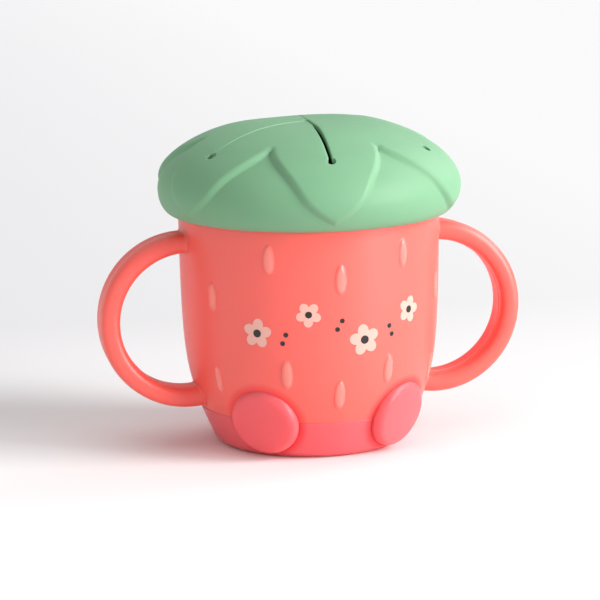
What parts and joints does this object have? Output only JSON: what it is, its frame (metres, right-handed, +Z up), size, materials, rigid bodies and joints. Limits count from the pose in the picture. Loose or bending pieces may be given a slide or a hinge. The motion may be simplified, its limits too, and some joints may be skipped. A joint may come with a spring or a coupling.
{
  "type": "toddler snack container",
  "caption": "Toddler snack cup with ring handles at its sides, a soft boot with foot pads, and a press-on silicone lid whose slit flaps let a small hand reach in.",
  "frame": {"origin": "middle of the base, on the table", "axes": "+Z up along the cup's axis, the front towards -Y, the ring handles along X"},
  "size_m": [0.1346, 0.097, 0.1018],
  "materials": {
    "cup": "satin moulded polypropylene",
    "boot": "soft matte moulding",
    "lid": "matte silicone"
  },
  "bodies": {
    "cup": {"cup_shell": "cup", "handle_left": "cup", "handle_right": "cup", "base_boot": "boot", "foot_left": "boot", "foot_right": "boot"},
    "lid": {"lid_cover": "lid"},
    "flap_1": {"flap_1": "lid"},
    "flap_2": {"flap_2": "lid"},
    "flap_3": {"flap_3": "lid"},
    "flap_4": {"flap_4": "lid"},
    "flap_5": {"flap_5": "lid"},
    "flap_6": {"flap_6": "lid"}
  },
  "joints": [
    {"name": "lid_lift", "type": "slide", "parent": "cup", "child": "lid", "axis": [0, 0, 1], "range_m": [0, 0.05]},
    {"name": "flap_1_bend", "type": "hinge", "parent": "lid", "child": "flap_1", "pos_m": [0.01514, -0.02971, 0.0938], "axis": [-0.891, -0.454, 0], "range_deg": [-20, 40], "stiffness_Nm_per_rad": 0.05},
    {"name": "flap_2_bend", "type": "hinge", "parent": "lid", "child": "flap_2", "pos_m": [0.03329, -0.00175, 0.0938], "axis": [-0.0523, -0.9986, 0], "range_deg": [-20, 40], "stiffness_Nm_per_rad": 0.05},
    {"name": "flap_3_bend", "type": "hinge", "parent": "lid", "child": "flap_3", "pos_m": [0.01816, 0.02796, 0.0938], "axis": [0.8387, -0.5446, 0], "range_deg": [-20, 40], "stiffness_Nm_per_rad": 0.05},
    {"name": "flap_4_bend", "type": "hinge", "parent": "lid", "child": "flap_4", "pos_m": [-0.01514, 0.02971, 0.0938], "axis": [0.891, 0.454, 0], "range_deg": [-20, 40], "stiffness_Nm_per_rad": 0.05},
    {"name": "flap_5_bend", "type": "hinge", "parent": "lid", "child": "flap_5", "pos_m": [-0.03329, 0.00175, 0.0938], "axis": [0.0523, 0.9986, 0], "range_deg": [-20, 40], "stiffness_Nm_per_rad": 0.05},
    {"name": "flap_6_bend", "type": "hinge", "parent": "lid", "child": "flap_6", "pos_m": [-0.01816, -0.02796, 0.0938], "axis": [-0.8387, 0.5446, 0], "range_deg": [-20, 40], "stiffness_Nm_per_rad": 0.05}
  ]
}
